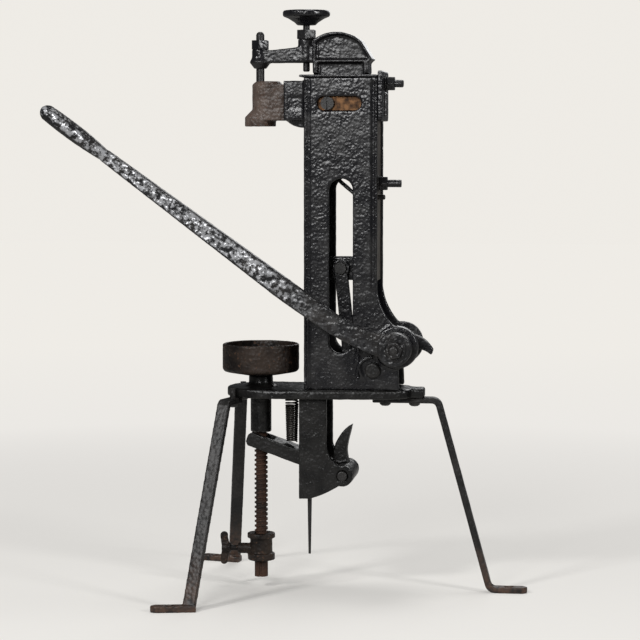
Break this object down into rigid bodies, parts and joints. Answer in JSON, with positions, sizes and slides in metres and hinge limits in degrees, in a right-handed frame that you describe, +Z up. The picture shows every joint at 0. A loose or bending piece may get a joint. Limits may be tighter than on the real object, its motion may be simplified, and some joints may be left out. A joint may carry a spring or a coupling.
{
  "type": "bottle corking machine",
  "caption": "Hand-lever bottle corking machine: a ram in an iron column drives a plunger through a compression head into a bottle held on a lifting cup, on a bar tripod.",
  "frame": {"origin": "on the floor, under the middle of the machine's overall length and width", "axes": "+Z up, +X from the bottle towards the lever shaft, +Y away from the side that carries the hand lever"},
  "size_m": [0.5735, 0.3434, 0.6908],
  "materials": {
    "black_casting": "thick gloss black paint over rough cast iron",
    "black_lever": "worn gloss black paint over forged iron, grey where handled",
    "leg_bar": "worn black paint on flat bar, browned at the feet",
    "bare_casting": "bare iron with an even brown rust",
    "cup_iron": "dark brown-grey iron, rust in the corners",
    "rusty_screw": "orange-brown rust over a square thread",
    "worn_steel": "dull worn steel",
    "spring_steel": "oiled spring wire",
    "brass": "tarnished brass",
    "bronze": "oiled bronze"
  },
  "bodies": {
    "frame": {"column_casting": "black_casting", "cheek_bolt": "black_casting", "shaft_bushes": "bronze", "top_cap": "black_casting", "back_guide": "worn_steel", "clamp_block": "black_casting", "guide_studs": "worn_steel", "guide_washers": "worn_steel", "guide_nuts": "worn_steel", "guide_pin": "worn_steel", "corking_head": "bare_casting", "base_plate": "black_casting", "rod_sleeve": "black_casting", "leg_front_left": "leg_bar", "leg_rear_left": "leg_bar", "leg_right": "leg_bar", "leg_rivets": "leg_bar", "fork_bracket": "black_casting", "tail_rod": "rusty_screw", "fork_pin": "worn_steel", "lift_spring": "spring_steel"},
    "lever": {"hand_lever": "black_lever", "lever_shaft": "worn_steel", "shaft_washer": "worn_steel", "shaft_nut": "black_lever", "shaft_collar": "black_casting", "crank": "black_casting", "crank_pin": "worn_steel", "trip_claw": "black_casting"},
    "link": {"connecting_link": "black_casting"},
    "ram": {"ram": "black_casting", "crosshead_pin": "worn_steel", "plunger": "worn_steel", "plunger_locknut": "black_casting", "stop_locknut": "black_casting"},
    "stop_screw": {"stop_screw": "worn_steel"},
    "handwheel": {"depth_handwheel": "black_casting"},
    "compression": {"compression_slide": "brass", "jaw_block": "worn_steel", "cam_rollers": "worn_steel", "slide_screws": "worn_steel"},
    "bottle_rest": {"bottle_cup": "cup_iron", "lifting_rod": "rusty_screw"},
    "collar": {"rod_collar": "cup_iron"},
    "wing_screw": {"wing_screw": "cup_iron"},
    "fork": {"fork_lever": "black_casting"}
  },
  "joints": [
    {"name": "lever_swing", "type": "hinge", "parent": "frame", "child": "lever", "pos_m": [0.13355, 0, 0.2955], "axis": [0, 1, 0], "range_deg": [0, 79]},
    {"name": "ram_stroke", "type": "slide", "parent": "frame", "child": "ram", "axis": [0, 0, 1], "range_m": [0, 0.0811]},
    {"name": "link_swing", "type": "hinge", "parent": "ram", "child": "link", "pos_m": [0.06425, 0, 0.3867], "axis": [0, 1, 0], "range_deg": [-6.75, 0]},
    {"name": "jaw_slide", "type": "slide", "parent": "frame", "child": "compression", "axis": [1, 0, 0], "range_m": [0, 0.01705]},
    {"name": "bottle_lift", "type": "slide", "parent": "frame", "child": "bottle_rest", "axis": [0, 0, 1], "range_m": [0, 0.06]},
    {"name": "collar_slide", "type": "slide", "parent": "bottle_rest", "child": "collar", "axis": [0, 0, 1], "range_m": [-0.012, 0.015]},
    {"name": "wing_screw_turn", "type": "hinge", "parent": "collar", "child": "wing_screw", "pos_m": [-0.07375, 0, 0.0464], "axis": [1, 0, 0], "continuous": true},
    {"name": "fork_swing", "type": "hinge", "parent": "frame", "child": "fork", "pos_m": [0.06845, 0, 0.1413], "axis": [0, 1, 0], "range_deg": [-10, 0], "stiffness_Nm_per_rad": 1.2, "springref_deg": 34.38, "deforming": ["lift_spring"]},
    {"name": "depth_screw_feed", "type": "slide", "parent": "ram", "child": "stop_screw", "axis": [0, 0, 1], "range_m": [-0.003, 0.012]},
    {"name": "handwheel_spin", "type": "hinge", "parent": "stop_screw", "child": "handwheel", "pos_m": [0.02155, 0, 0.68], "axis": [0, 0, 1], "range_deg": [-720, 2880]}
  ],
  "couplings": [
    {"joint": "ram_stroke", "follows": "lever_swing", "m_per_rad": 0.058746},
    {"joint": "link_swing", "follows": "lever_swing", "ratio": -0.08481},
    {"joint": "jaw_slide", "follows": "lever_swing", "m_per_rad": 0.012329},
    {"joint": "depth_screw_feed", "follows": "handwheel_spin", "m_per_rad": 0.00023873}
  ]
}
